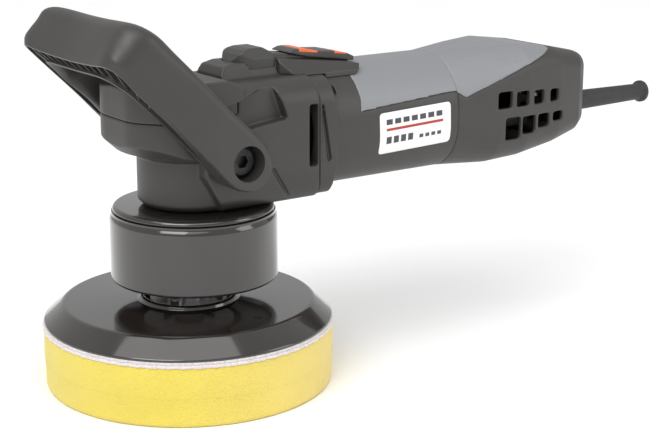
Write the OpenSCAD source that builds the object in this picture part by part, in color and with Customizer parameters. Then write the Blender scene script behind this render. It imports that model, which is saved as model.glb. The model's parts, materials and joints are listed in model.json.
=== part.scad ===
// Dual-action (random orbital) car polisher with a D-shaped front handle.
// +X points to the cord end, +Z up. The origin is on the drive spindle's axis,
// in the plane of the pad's working face.

/* [Polishing pad] */
// Diameter of the foam pad
pad_d = 150; // [146:1:154]
// Thickness of the foam
foam_h = 30.5; // [26:0.5:36]
// Orbit of the pad, twice the offset of its bearing bore
orbit_d = 8; // [6:0.5:9]

/* [Counterweight drum] */
// Outer diameter of the drum
drum_d = 86.6; // [85:0.2:90]
// Height of the drum's wall and top disc together
drum_h = 38.8; // [38.4:0.2:42]

/* [Gear head] */
// Diameter of the neck above the drum
neck_d = 57; // [56:0.5:60]
// Width of the gear head across its flat sides
head_w = 67; // [66:0.5:70]

/* [Motor housing] */
// Height and width of the motor barrel
barrel_w = 64; // [63.5:0.5:65]
// Length of the barrel, from the gear head to the rear shells
barrel_len = 93.7; // [93.2:0.1:95]
// Length of the rear shells
tail_len = 104; // [103:1:108]

/* [Front handle] */
// Width across the outer faces of the handle's arms
handle_w = 100; // [98:0.5:108]
// Number of stiffening ribs inside the cross-grip
grip_ribs = 12; // [6:1:16]

/* [Drive] */
// Number of teeth on the crown gear
crown_teeth = 36; // [36:4:36]
// Number of teeth on the armature's pinion
pinion_teeth = 9; // [9:1:9]
// Diameter of the mains lead that the sleeve takes
cord_d = 7; // [6:0.5:8]

/* [Hidden] */

$fn = 64;
eps = 0.02;            // running clearance of shafts, each side
play = 0.3;            // end play between parts that turn past each other
orbit = orbit_d / 2;

// Heights of the stack, from the working face up
loop_h = 1.6;
hook_h = 1.5;
plate_h = 9.5;
z_hook = foam_h + loop_h;
z_plate = z_hook + hook_h;
z_plate_top = z_plate + plate_h;
z_flange = z_plate_top - 2.5;
z_drum = z_plate_top + 11.5;
z_drum_top = z_drum + drum_h;
z_neck = z_drum_top + 1;
axis_z = z_drum_top + 33.1;

// Pad and backing plate
pad_r = pad_d / 2;
plate_top_r = pad_r - 10.2;
rim_r = 25.2;
flange_r = 20;
plate_screw_circle = 31;

// Drum
drum_r = drum_d / 2;
drum_wall = 2.4;
cap_h = 3.2;
z_cap = z_drum_top - cap_h;
carrier_r = 24;
carrier_z = z_drum + 1.6;
spindle_r = 6;
spigot_r = 5;
journal_r = 6;
pad_bearing_r = 14;
pad_bearing_w = 8;
z_bearing_1 = z_drum + 4.4;
z_bearing_2 = z_bearing_1 + pad_bearing_w + 2;
z_pad_circlip = z_bearing_2 + pad_bearing_w + play;
circlip_h = 1.2;

// Gear head
neck_r = neck_d / 2;
head_half = head_w / 2;
seam_x = 56.3;
screw_seat_x = seam_x + 5;
fan_space_end = seam_x + 15;
case_head_r = 3.2;
case_head_h = 3;
deck_z = axis_z + 30.5;
cap_top_z = axis_z + 34;
cover_z = axis_z + 15.5;
cover_x = 10.5;
gear_cavity_r = 22.3;
spindle_bearing_r = 16;
z_spindle_bearing = z_neck + 2.8;
spindle_bearing_w = 10;

// Bevel gears: both cones meet where the two axes cross
gear_module = 1.15;
crown_r = gear_module * crown_teeth / 2;
pinion_r = gear_module * pinion_teeth / 2;
cone_len = sqrt(crown_r * crown_r + pinion_r * pinion_r);
cone_inner = 0.64;     // inner end of a tooth, as a part of the cone's length
addendum = 0.75 * gear_module;
tooth_w = 1.25;        // mean width of a tooth at its outer end
dedendum = 1.1 * gear_module;
crown_angle = atan(crown_r / pinion_r);
pinion_angle = atan(pinion_r / crown_r);

// Motor
shaft_r = 4;
ball_r = 11;
ball_w = 7;
front_ball_x = 24;
fan_x = 66;
fan_r = 27;
fan_space_r = 28.5;
stator_x = 92;
stator_len = 40;
armature_r = 15.6;
air_gap = 0.5;
coil_z = 19.5;
comm_x = 143;
comm_len = 13;
comm_r = 11.5;
tail_x = seam_x + barrel_len;
rear_ball_x = tail_x + 11;
barrel_half = barrel_w / 2;
barrel_round = 28;
wall = 2.8;

// Rear shells: height above and below the axis, half width and corner radius at six stations
tail_end_x = tail_x + tail_len;
tail_stations = [
    [0, barrel_half, -barrel_half, barrel_half, barrel_round], [0.29, 33.6, -32.5, 33.4, 20],
    [0.49, 34.4, -30.3, 33, 15], [0.75, 30.8, -25.8, 30, 11], [0.94, 26.5, -21.5, 26, 9],
    [1, 24.5, -18.5, 22.5, 8]
];

// Front handle, in the side view
bolt_x = 2.5;
bolt_z = axis_z - 4.5;
arm_in = head_half;
arm_out = handle_w / 2;
arm_end_r = 14.5;
skin = 3;
insert_len = 10;

sleeve_x = tail_end_x - 8;
sleeve_len = 82;
dial_r = 13;
dial_w = 6;
dial_x = tail_x + 58;
dial_y = 20.5;
switch_x = 54.2;
switch_len = 42;
switch_half = 8.3;
skirt = 1.9;           // the slider's sides reach down over its bezel by this much
skirt_in = 7;
switch_slope = 6.8;    // the slider runs up towards the front at this angle
bezel_x = 44.6;
bezel_end_x = 94;
bezel_top = axis_z + 40.7;
slot_half = 4;
slot_x = 62.5;
slot_len = 20.2;
lock_x = 36.5;         // the lock pin
lock_front = 20.3;
lock_rear = 43.2;
lock_half = 11;
lock_stroke = 3.5;
lock_top_z = axis_z + 44.4;
lock_ring_r = 9;

// ---------- helpers ----------

// A prism along X whose section is given with Y to the right and Z up
module along_x(x0, x1) {
    translate([x0, 0, 0]) rotate([90, 0, 90]) linear_extrude(x1 - x0) children();
}

// A prism along Y whose section is given with X to the right and Z up
module along_y(y0, y1) {
    translate([0, y1, 0]) rotate([90, 0, 0]) linear_extrude(y1 - y0) children();
}

// A cylinder along X
module rod_x(r, x0, x1, r2 = undef) {
    translate([x0, 0, 0]) rotate([0, 90, 0]) cylinder(r1 = r, r2 = is_undef(r2) ? r : r2, h = x1 - x0);
}

// A cylinder along Y
module rod_y(r, y0, y1) {
    translate([0, y1, 0]) rotate([90, 0, 0]) cylinder(r = r, h = y1 - y0);
}

// A ring along Z
module ring(r_out, r_in, z0, z1) {
    translate([0, 0, z0]) difference() {
        cylinder(r = r_out, h = z1 - z0);
        translate([0, 0, -1]) cylinder(r = r_in, h = z1 - z0 + 2);
    }
}

// A ring along X, on the motor's axis
module ring_x(r_out, r_in, x0, x1) {
    difference() {
        rod_x(r_out, x0, x1);
        rod_x(r_in, x0 - 1, x1 + 1);
    }
}

// A rectangle with round corners, centred, its arcs kept exact
module rounded_rect(w, h, r) {
    square([w, h - 2 * r], center = true);
    square([w - 2 * r, h], center = true);
    for (x = [-1, 1], y = [-1, 1]) translate([x * (w / 2 - r), y * (h / 2 - r)]) circle(r = r);
}

// A box between two corners
module box(a, b) {
    translate(a) cube(b - a);
}

// A cap screw along Z: the head sits on z = 0, the shank points down
module cap_screw(shank_r, shank_len, head_r, head_h, key_r) {
    difference() {
        union() {
            cylinder(r = head_r, h = head_h);
            translate([0, 0, -shank_len]) cylinder(r = shank_r, h = shank_len + 0.1);
        }
        translate([0, 0, head_h * 0.45]) cylinder(r = key_r, h = head_h, $fn = 6);
    }
}

// A compression spring along Z, swept as one closed tube
module coil_spring(r, wire_r, height, turns) {
    sides = 6;
    steps = 10 * turns;
    rise = height - 2 * wire_r;
    function ring_at(i) = let (a = 360 * turns * i / steps, z = wire_r + rise * i / steps)
        [for (s = [0:sides - 1]) let (b = 360 * s / sides, q = r + wire_r * cos(b))
            [q * cos(a), q * sin(a), z + wire_r * sin(b)]];
    points = [for (i = [0:steps]) each ring_at(i)];
    walls = [for (i = [0:steps - 1], s = [0:sides - 1]) let (t = (s + 1) % sides)
        [i * sides + s, (i + 1) * sides + s, (i + 1) * sides + t, i * sides + t]];
    polyhedron(points, concat(walls, [[for (s = [0:sides - 1]) s]],
        [[for (s = [sides - 1:-1:0]) steps * sides + s]]));
}

// Straight bevel teeth on a cone whose point is the origin and whose axis is +Z
module bevel_teeth(teeth, half_angle, first = 0) {
    root_w = tooth_w * 1.35;
    tip_w = tooth_w * 0.55;
    axial = [sin(half_angle), 0, cos(half_angle)];
    outward = [cos(half_angle), 0, -sin(half_angle)];
    function corner(scale, depth, side) =
        scale * (cone_len * axial + depth * outward + [0, side, 0]);
    function section(scale) = [
        corner(scale, -dedendum - 0.4, -root_w / 2), corner(scale, -dedendum - 0.4, root_w / 2),
        corner(scale, addendum, tip_w / 2), corner(scale, addendum, -tip_w / 2)
    ];
    for (i = [0:teeth - 1]) rotate(first + 360 * i / teeth)
        polyhedron(concat(section(cone_inner), section(1)), [
            [3, 2, 1, 0], [4, 5, 6, 7], [0, 1, 5, 4], [1, 2, 6, 5], [2, 3, 7, 6], [3, 0, 4, 7]
        ]);
}

// ---------- pad ----------

module at_pad() {
    translate([-orbit, 0, 0]) children();
}

module foam_pad() {
    edge = 1.6;
    color("gold") at_pad() rotate_extrude($fn = 128) polygon([
        [0, 0], [pad_r - edge, 0], [pad_r, edge], [pad_r, foam_h], [0, foam_h]
    ]);
}

module loop_layer() {
    color("lavenderblush") at_pad() translate([0, 0, foam_h])
        cylinder(r = pad_r + 0.4, h = loop_h, $fn = 128);
}

module hook_disc() {
    color("white") at_pad() translate([0, 0, z_hook]) cylinder(r = pad_r, h = hook_h, $fn = 128);
}

module plate_screw_places() {
    for (i = [0:3]) rotate(35 + 90 * i) translate([plate_screw_circle / 2, 0, 0]) children();
}

module backing_plate() {
    rim_in = rim_r - 2.2;
    rim_h = 2.6;
    color([0.1, 0.09, 0.08]) at_pad() difference() {
        rotate_extrude($fn = 128) polygon([
            [0, z_plate], [pad_r, z_plate], [pad_r, z_plate + 0.9], [plate_top_r, z_plate_top],
            [rim_r, z_plate_top], [rim_r, z_plate_top + rim_h - 0.8], [rim_r - 0.8, z_plate_top + rim_h],
            [rim_in + 0.6, z_plate_top + rim_h], [rim_in, z_plate_top + rim_h - 0.8],
            [rim_in, z_flange], [0, z_flange]
        ]);
        plate_screw_places() translate([0, 0, z_plate + 1]) cylinder(r = 2 + eps, h = plate_h);
    }
}

module pad_spindle() {
    flange_h = 3;
    neck_top = z_bearing_1 - play;
    top = z_pad_circlip + 2.4;
    color("silver") at_pad() difference() {
        union() {
            translate([0, 0, z_flange]) cylinder(r = flange_r, h = flange_h);
            translate([0, 0, z_flange]) cylinder(r = 9, h = z_drum - 1 - z_flange);
            translate([0, 0, z_flange]) cylinder(r = 7.6, h = neck_top - z_flange);
            translate([0, 0, z_flange]) cylinder(r = journal_r, h = top - z_flange);
        }
        plate_screw_places() translate([0, 0, z_flange - 1]) cylinder(r = 2 + eps, h = 5);
        ring(journal_r + 1, journal_r - 0.6, z_pad_circlip, z_pad_circlip + circlip_h);
    }
}

module plate_screws() {
    color("silver") at_pad() plate_screw_places() translate([0, 0, z_flange + 3])
        cap_screw(2, 8, 3.5, 3, 1.4);
}

module pad_circlip() {
    color("dimgray") at_pad() difference() {
        ring(journal_r + 2, journal_r - 0.6, z_pad_circlip, z_pad_circlip + circlip_h);
        box([4, -1.5, 0], [12, 1.5, axis_z]);
    }
}

// ---------- drive spindle and drum ----------

module output_spindle() {
    top = axis_z + 25;
    bottom = z_bearing_2 + pad_bearing_w + 6;
    color("silver") {
        translate([0, 0, bottom]) cylinder(r = spindle_r, h = axis_z + 9 - bottom);
        translate([0, 0, axis_z + 5]) cylinder(r = spigot_r, h = top - axis_z - 5);
    }
}

module crown_gear() {
    z_bottom = z_spindle_bearing + spindle_bearing_w + play;
    z_root = axis_z - cos(crown_angle) * cone_len - sin(crown_angle) * dedendum;
    web_z = z_root - 3.5;
    inner_drop = (1 - cone_inner) * cone_len * cos(crown_angle);
    color("darkgray") difference() {
        union() {
            translate([0, 0, axis_z]) mirror([0, 0, 1]) bevel_teeth(crown_teeth, crown_angle);
            rotate_extrude() polygon([
                [0, z_bottom], [9, z_bottom], [9, web_z], [crown_r - 0.2, web_z],
                [crown_r - 0.2, z_root - 0.1],
                [cone_inner * crown_r, z_root + inner_drop - 0.1], [9.5, axis_z - 8.2], [9.5, axis_z - 8],
                [0, axis_z - 8]
            ]);
        }
        translate([0, 0, z_bottom - 1]) cylinder(r = spindle_r, h = 30);
    }
}

module eccentric_carrier() {
    web_z = z_bearing_2 + pad_bearing_w + 5;
    color("gray") difference() {
        union() {
            at_pad() translate([0, 0, carrier_z]) cylinder(r = carrier_r, h = web_z - carrier_z + 4);
            translate([0, 0, web_z]) cylinder(r = carrier_r, h = z_cap - web_z);
        }
        at_pad() translate([0, 0, z_bearing_1]) cylinder(r = pad_bearing_r, h = web_z - z_bearing_1);
        at_pad() translate([0, 0, carrier_z - 1]) cylinder(r = pad_bearing_r - 0.9, h = 10);
        at_pad() translate([0, 0, z_bearing_1 - 1.3]) cylinder(r = pad_bearing_r + 0.9, h = 1.3);
        at_pad() translate([0, 0, carrier_z - 1]) cylinder(r = pad_bearing_r, h = z_bearing_1 - carrier_z);
        translate([0, 0, web_z - 1]) cylinder(r = spindle_r, h = 20);
        drum_screw_places() translate([0, 0, z_cap - 6]) cylinder(r = 2 + eps, h = 8);
    }
}

module counterweight() {
    z0 = z_drum + 3;
    z1 = z_cap - 4;
    color("dimgray") difference() {
        ring(drum_r - drum_wall - 0.6, carrier_r + 1, z0, z1);
        box([-drum_r, -drum_r, z0 - 1], [4, drum_r, z1 + 1]);
        at_pad() translate([0, 0, z0 - 1]) cylinder(r = carrier_r, h = z1 - z0 + 2);
        for (a = [-35, 35]) rotate(a) translate([33, 0, z0 - 1]) cylinder(r = 2.5 + eps, h = z1);
    }
}

module drum_screw_places() {
    for (a = [60, 180, 300]) rotate(a) translate([17.5, 0, 0]) children();
}

module drum_cap() {
    r = drum_r - 1.6;
    edge = 1.2;
    color([0.12, 0.11, 0.1]) difference() {
        union() {
            rotate_extrude($fn = 128) polygon([
                [0, z_cap], [r - 0.6, z_cap], [r, z_cap + 0.6], [r, z_drum_top - edge],
                [r - edge * 0.3, z_drum_top - edge * 0.3], [r - edge, z_drum_top], [0, z_drum_top]
            ]);
            for (a = [-35, 35]) rotate(a) translate([33, 0, z_drum + 3])
                cylinder(r = 2.5, h = z_cap - z_drum - 2.9);
        }
        translate([0, 0, z_cap - 1]) cylinder(r = spindle_r, h = cap_h + 2);
        drum_screw_places() {
            translate([0, 0, z_cap - 1]) cylinder(r = 2 + eps, h = cap_h + 2);
            translate([0, 0, z_drum_top - 2]) cylinder(r = 4, h = 3);
        }
    }
}

module drum_shell() {
    step = 1;              // the top disc's edge stands in by this much
    color([0.12, 0.11, 0.1]) rotate_extrude($fn = 128) polygon([
        [drum_r - drum_wall, z_drum + 1], [drum_r - drum_wall + 1, z_drum], [drum_r - 0.8, z_drum],
        [drum_r, z_drum + 0.8], [drum_r - 0.4, z_cap - 2.2], [drum_r - step, z_cap - step],
        [drum_r - step, z_cap], [drum_r - drum_wall, z_cap]
    ]);
}

module drum_screws() {
    color("silver") drum_screw_places() translate([0, 0, z_drum_top - 2]) cap_screw(2, 7, 3.8, 2, 1.4);
}

module pad_bearings() {
    color("silver") at_pad() for (z = [z_bearing_1, z_bearing_2]) difference() {
        ring(pad_bearing_r, journal_r + eps, z, z + pad_bearing_w);
        for (face = [z - 1, z + pad_bearing_w - 0.5]) ring(11.5, 8.5, face, face + 1.5);
    }
}

module carrier_circlip() {
    color("dimgray") at_pad() difference() {
        ring(pad_bearing_r + 0.9, pad_bearing_r - 2, z_bearing_1 - 1.3, z_bearing_1);
        box([9, -1.5, 0], [20, 1.5, axis_z]);
    }
}

// ---------- gear head ----------

// Plan of the round front of the head: flat sides and wide front corners
module head_plan() {
    corner_r = 24;
    half = head_half - 0.5;
    front = 44;
    for (y = [-1, 1]) translate([corner_r - front, y * (half - corner_r)]) circle(r = corner_r, $fn = 96);
    translate([-front, -(half - corner_r)]) square([front, 2 * (half - corner_r)]);
    translate([corner_r - front, -half]) square([cover_x + front - corner_r, 2 * half]);
}

module head_front() {
    ledge = axis_z - 6.5;
    slope = axis_z + 26;
    intersection() {
        translate([0, 0, ledge]) linear_extrude(cap_top_z - ledge) head_plan();
        rotate_extrude($fn = 128) polygon([
            [0, ledge], [neck_r, ledge], [39.5, ledge + 4], [47, ledge + 11], [60, ledge + 11], [60, slope],
            [52, slope], [40, cap_top_z], [0, cap_top_z]
        ]);
    }
}

// Section of the head's rear and of the collar: rounder at the top than below
module head_section(half_h) {
    for (part = [[0, 14], [-half_h, 8]]) intersection() {
        rounded_rect(head_w, 2 * half_h, part[1]);
        translate([-head_w, part[0]]) square([2 * head_w, half_h]);
    }
}

// Square rear part of the head, with the diagonal front edge of its cheeks
module head_rear(x0) {
    intersection() {
        translate([0, 0, axis_z - 1]) along_x(x0, seam_x) head_section(deck_z + 1 - axis_z);
        along_y(-50, 50) polygon([
            [-1.4, z_neck], [-12, z_neck + 19], [-12, deck_z], [seam_x, deck_z], [seam_x, z_neck]
        ]);
    }
}

// Raised spine that carries the lock button
module head_spine(x0, x1) {
    half = 13;
    top = axis_z + 40.5;
    intersection() {
        along_y(-half, half) polygon([
            [9, deck_z - 1], [12.5, deck_z + 6], [18.5, deck_z + 7.5], [lock_rear - 8, deck_z + 7.5],
            [lock_rear - 2, top], [bezel_x, top],
            [bezel_x, deck_z - 1]
        ]);
        along_x(x0, x1) polygon([
            [-half, deck_z - 1], [-half + 3.5, top], [half - 3.5, top], [half, deck_z - 1]
        ]);
    }
}

// Pockets in the head's sides, beside the handle's arms
module side_pockets() {
    deep = head_half - 6;
    for (side = [-1, 1]) along_y(side > 0 ? deep : -head_half - 2, side > 0 ? head_half + 2 : -deep)
        polygon([
            [-16, axis_z + 15.5], [30, axis_z + 29.5], [36.5, axis_z + 11.5], [13, axis_z + 8.5],
            [-8, axis_z + 6.5]
        ]);
}

// Plan of the lock button: round in front, straight at the rear
module lock_plan(gap = 0) {
    translate([lock_front + lock_half, 0]) circle(r = lock_half + gap);
    translate([lock_front + lock_half, -lock_half - gap])
        square([lock_rear + gap - lock_front - lock_half, 2 * (lock_half + gap)]);
}

module lock_bore() {
    translate([0, 0, axis_z + 21]) linear_extrude(30) lock_plan(0.3);
    translate([lock_x, 0, axis_z]) cylinder(r = 2.5 + 0.1, h = 40);
}

module case_screw_places() {
    for (y = [-26, 26], z = [-24.5, 22.5]) translate([0, y, axis_z + z]) rotate([0, -90, 0]) children();
}

module gear_case() {
    floor_z = z_spindle_bearing + spindle_bearing_w;
    color([0.3, 0.29, 0.28]) difference() {
        union() {
            translate([0, 0, z_neck]) cylinder(r1 = neck_r - 2.5, r2 = neck_r, h = 2.5, $fn = 96);
            translate([0, 0, z_neck + 2.5]) cylinder(r = neck_r, h = axis_z - z_neck, $fn = 96);
            head_front();
            head_rear(-12);
            head_spine(cover_x, bezel_x);
            handle_bosses();
        }
        // the cover's place
        box([-60, -60, cover_z], [cover_x, 60, cap_top_z + 20]);
        // gear cavity and the passage for the pinion
        translate([0, 0, floor_z]) cylinder(r = gear_cavity_r, h = cover_z - floor_z + 1);
        on_axis() rod_x(ball_r - 1.5, 0, front_ball_x + 10);
        on_axis() rod_x(ball_r, front_ball_x, front_ball_x + 12);
        // spindle bearing with its circlip groove, open below
        translate([0, 0, z_spindle_bearing]) cylinder(r = spindle_bearing_r, h = spindle_bearing_w + 1);
        translate([0, 0, z_neck - 1]) cylinder(r = spindle_bearing_r, h = 5);
        translate([0, 0, z_spindle_bearing - 1.3]) cylinder(r = spindle_bearing_r + 1, h = 1.3);
        // air space behind the bulkhead, open at the sides through the outlets
        on_axis() rod_x(18, front_ball_x + ball_w + 2, lock_rear + 4);
        on_axis() rod_x(fan_space_r, lock_rear + 3, seam_x + 1);
        for (side = [-1, 1]) box([seam_x - 6.4, side > 0 ? 20 : -40, axis_z - 15],
            [seam_x - 1.1, side > 0 ? 40 : -20, axis_z + 17]);
        side_pockets();
        // slanted groove low on each cheek
        for (side = [-1, 1]) along_y(side > 0 ? head_half - 1.6 : -head_half - 2,
            side > 0 ? head_half + 2 : 1.6 - head_half)
            polygon([
                [26.6, axis_z - 13.3], [27.9, axis_z - 12.6], [40, axis_z - 32.5], [38.6, axis_z - 33.3]
            ]);
        lock_bore();
        case_screw_places() translate([0, 0, -seam_x - 1]) cylinder(r = 1.9 + eps, h = 15);
        cover_screw_places() translate([0, 0, cover_z - 12]) cylinder(r = 1.5 + eps, h = 14);
        for (side = [-1, 1]) translate([bolt_x, 0, bolt_z]) rod_y(6,
            side > 0 ? head_half - insert_len : -head_half - 1,
            side > 0 ? head_half + 1 : insert_len - head_half);
    }
}

// Solid blocks behind the handle's screws, inside the round neck's width
module handle_bosses() {
    for (side = [-1, 1]) translate([bolt_x, 0, bolt_z]) rod_y(13,
        side > 0 ? 20 : -head_half, side > 0 ? head_half : -20);
}

module cover_screw_places() {
    for (p = [[-35, -14], [-35, 14], [6.5, -23.7], [6.5, 23.7]]) translate([p[0], p[1], 0]) children();
}

module gear_cover() {
    color([0.31, 0.3, 0.29]) difference() {
        intersection() {
            head_front();
            box([-60, -60, cover_z], [cover_x, 60, cap_top_z + 20]);
        }
        translate([0, 0, cover_z - 1]) cylinder(r = spindle_r + 8, h = 1 + 4);
        translate([0, 0, cover_z - 1]) cylinder(r = 8, h = axis_z + 26 - cover_z + 1);
        side_pockets();
        // the top falls to the level of the deck behind it
        along_y(-60, 60) polygon([
            [2, cap_top_z], [cover_x + 1, deck_z - 0.4], [cover_x + 1, cap_top_z + 1], [2, cap_top_z + 1]
        ]);
        cover_screw_places() {
            translate([0, 0, cover_z - 1]) cylinder(r = 1.6 + eps, h = 30);
            translate([0, 0, cap_top_z - 9]) cylinder(r = 3.2, h = 20);
        }
    }
}

module cover_screws() {
    color("silver") cover_screw_places() translate([0, 0, cap_top_z - 9]) cap_screw(1.5, 20, 2.8, 3, 1.25);
}

module spindle_bearing() {
    color("silver") difference() {
        ring(spindle_bearing_r, spindle_r + eps, z_spindle_bearing, z_spindle_bearing + spindle_bearing_w);
        for (z = [z_spindle_bearing - 1, z_spindle_bearing + spindle_bearing_w - 0.5])
            ring(13, 9, z, z + 1.5);
    }
}

module spindle_bush() {
    color("silver") ring(8, spigot_r + eps, axis_z + 15.5, axis_z + 25.5);
}

module bearing_circlip() {
    color("dimgray") difference() {
        ring(spindle_bearing_r + 1, spindle_bearing_r - 2, z_spindle_bearing - 1.3, z_spindle_bearing);
        box([10, -2, 0], [20, 2, axis_z]);
    }
}

module case_screws() {
    color("silver") case_screw_places() translate([0, 0, -screw_seat_x]) mirror([0, 0, 1])
        cap_screw(1.9, 16, case_head_r, case_head_h, 1.5);
}

// ---------- armature ----------

module on_axis() {
    translate([0, 0, axis_z]) children();
}

module pinion() {
    back_x = crown_r + 3;
    tooth_end = cone_inner * crown_r - sin(pinion_angle) * addendum * cone_inner;
    root = pinion_r - dedendum;
    color("darkgray") on_axis() difference() {
        union() {
            rotate([0, 90, 0]) bevel_teeth(pinion_teeth, pinion_angle, 180 / pinion_teeth);
            rod_x(root * cone_inner, tooth_end - 0.2, crown_r, root);
            rod_x(root, crown_r - 0.1, back_x);
        }
        rod_x(2.2, tooth_end - 2, back_x + 1);
    }
}

module armature_shaft() {
    color("silver") on_axis() {
        rod_x(2.2, cone_inner * crown_r + 0.5, crown_r + 3);
        rod_x(shaft_r, crown_r + 3, rear_ball_x + ball_w + 1);
        difference() {
            rod_x(lock_ring_r, lock_x - 2.6, lock_x + 2.6);
            for (a = [0:90:270]) rotate([a, 0, 0]) translate([lock_x, 0, 5.5]) cylinder(r = 2.8, h = 9);
        }
    }
}

module cooling_fan() {
    blades = 15;
    color("black") on_axis() difference() {
        union() {
            ring_x(fan_r, shaft_r, fan_x, fan_x + 2);
            rod_x(9, fan_x, fan_x + 11);
            for (i = [0:blades - 1]) rotate([360 * i / blades, 0, 0])
                box([fan_x + 1, 10, -0.7], [fan_x + 10, fan_r - 0.5, 0.7]);
            ring_x(fan_r, fan_r - 7, fan_x + 10, fan_x + 11.5);
        }
        rod_x(shaft_r, fan_x - 1, fan_x + 13);
    }
}

module armature_core() {
    slots = 12;
    color("slategray") on_axis() difference() {
        rod_x(armature_r, stator_x, stator_x + stator_len);
        rod_x(shaft_r, stator_x - 1, stator_x + stator_len + 1);
        for (i = [0:slots - 1]) rotate([360 * i / slots, 0, 0])
            box([stator_x - 1, -1.1, 9.5], [stator_x + stator_len + 1, 1.1, armature_r + 1]);
    }
}

module armature_windings() {
    slots = 12;
    bundle = 9;
    color("chocolate") on_axis() {
        for (i = [0:slots - 1]) rotate([360 * i / slots, 0, 0])
            box([stator_x - 1, -1.0, 9.6], [stator_x + stator_len + 1, 1.0, armature_r - 0.6]);
        for (x = [stator_x - bundle, stator_x + stator_len]) ring_x(armature_r - 1, shaft_r, x, x + bundle);
    }
}

module commutator() {
    bars = 24;
    color("peru") on_axis() difference() {
        ring_x(comm_r, shaft_r, comm_x, comm_x + comm_len);
        for (i = [0:bars - 1]) rotate([360 * i / bars, 0, 0])
            box([comm_x + 2, -0.25, comm_r - 1], [comm_x + comm_len + 1, 0.25, comm_r + 1]);
    }
}

module ball_bearing_x(x, bore) {
    color("silver") on_axis() difference() {
        ring_x(ball_r, bore, x, x + ball_w);
        for (face = [x - 1, x + ball_w - 0.4]) ring_x(9, 6, face, face + 1.4);
    }
}

module front_bearing() {
    ball_bearing_x(front_ball_x, shaft_r + eps);
}

module rear_bearing() {
    ball_bearing_x(rear_ball_x, shaft_r + eps);
}

// ---------- motor housing ----------

// Outline of the barrel's section, inset by a given amount
module barrel_section(inset = 0) {
    rounded_rect(barrel_w - 2 * inset, barrel_w - 2 * inset, barrel_round - inset);
}

// Side view of the grey trim over the barrel
module front_trim_outline() {
    translate([seam_x, axis_z]) polygon([
        [28.7, 50], [28.7, 16], [27.5, 9.6], [barrel_len - 4, 13.8], [barrel_len, 13.4], [barrel_len, 50]
    ]);
}

module front_trim() {
    depth = 1.4;
    color("lightslategray") difference() {
        intersection() {
            on_axis() along_x(seam_x, tail_x) barrel_section();
            along_y(-50, 50) front_trim_outline();
        }
        on_axis() along_x(seam_x - 1, tail_x + 1) barrel_section(depth);
    }
}

module motor_housing() {
    collar = 8;
    color([0.3, 0.29, 0.28]) difference() {
        union() {
            on_axis() along_x(seam_x, tail_x) barrel_section();
            translate([0, 0, axis_z - 1]) intersection() {
                along_x(seam_x, seam_x + collar + 5) head_section(head_half - 3);
                rotate([0, 90, 0]) translate([0, 0, seam_x]) union() {
                    cylinder(r = 60, h = collar);
                    translate([0, 0, collar]) cylinder(r1 = 42, r2 = 32.5, h = 4.5);
                }
            }
        }
        on_axis() rod_x(fan_space_r, seam_x - 1, fan_space_end + 1);
        on_axis() along_x(fan_space_end, tail_x + 1) barrel_section(wall);
        intersection() {
            difference() {
                on_axis() along_x(seam_x, tail_x + 1) barrel_section(-2);
                on_axis() along_x(seam_x - 1, tail_x + 2) barrel_section(1.4);
            }
            along_y(-50, 50) front_trim_outline();
        }
        // shallow triangle of the louvre behind each outlet, deeper along its slanted edge
        for (side = [-1, 1], cut = [
            [0.8, [[0.9, 17], [2.1, 17], [7.2, -13.4], [0.9, -15]]],
            [2.4, [[1.4, 17], [2.4, 17], [7.4, -13.2], [5.4, -13.6]]]
        ])
            along_y(side > 0 ? head_half - cut[0] : -head_half - 2,
                side > 0 ? head_half + 2 : cut[0] - head_half)
                translate([seam_x, axis_z]) polygon(cut[1]);
        switch_slot();
        case_screw_places() {
            translate([0, 0, -screw_seat_x - 1]) cylinder(r = 1.9 + eps, h = 30);
            translate([0, 0, -fan_space_end])
                cylinder(r = case_head_r + 0.2, h = fan_space_end - screw_seat_x);
        }
        label_film(0.05);
    }
}

// Slot for the slider's tongue
module switch_slot(gap = 0.4) {
    box([slot_x, -slot_half - gap, axis_z + 24], [slot_x + slot_len, slot_half + gap, axis_z + 60]);
}

module stator_core() {
    color("slategray") on_axis() difference() {
        along_x(stator_x, stator_x + stator_len) barrel_section(wall);
        rod_x(armature_r + air_gap, stator_x - 1, stator_x + stator_len + 1);
        for (side = [-1, 1]) for (z = [-1, 1]) translate([0, side * 11, z * coil_z])
            along_x(stator_x - 1, stator_x + stator_len + 1) square([13, 8], center = true);
    }
}

module field_coils() {
    color("chocolate") on_axis() for (z = [-1, 1]) {
        for (side = [-1, 1]) translate([0, side * 11, z * coil_z])
            along_x(stator_x - 3, stator_x + stator_len + 3) square([12.4, 7.4], center = true);
        for (x = [stator_x - 7, stator_x + stator_len + 3]) translate([0, 0, z * 20])
            along_x(x, x + 4) square([34, 7.4], center = true);
    }
}

module brush_bracket() {
    x0 = comm_x + comm_len + 2;
    color("black") on_axis() difference() {
        union() {
            along_x(x0, x0 + 4) barrel_section(wall + 0.4);
            rod_x(ball_r + 2.5, x0, rear_ball_x + ball_w);
            for (side = [-1, 1])
                box([comm_x - 3, side > 0 ? 15 : -28, -9], [x0 + 1, side > 0 ? 28 : -15, -7]);
        }
        rod_x(shaft_r + 1, x0 - 1, rear_ball_x + 1);
        rod_x(ball_r, rear_ball_x, rear_ball_x + ball_w + 1);
        for (a = [45:90:315]) rotate([a, 0, 0]) translate([0, 0, 22]) rod_x(5, x0 - 1, x0 + 5);
        for (z = [-1, 1]) translate([0, 0, z * 25.5]) rod_x(1.6, x0 - 1, x0 + 5);
    }
}

module brush_holders() {
    x = comm_x + comm_len / 2;
    color("goldenrod") on_axis() for (side = [-1, 1]) difference() {
        box([x - 4.6, side > 0 ? 14.5 : -28.4, -7], [x + 4.6, side > 0 ? 28.4 : -14.5, 6]);
        box([x - 3.3, side > 0 ? 14 : -27.8, -4.6], [x + 3.3, side > 0 ? 27.8 : -14, 4.6]);
    }
}

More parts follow.
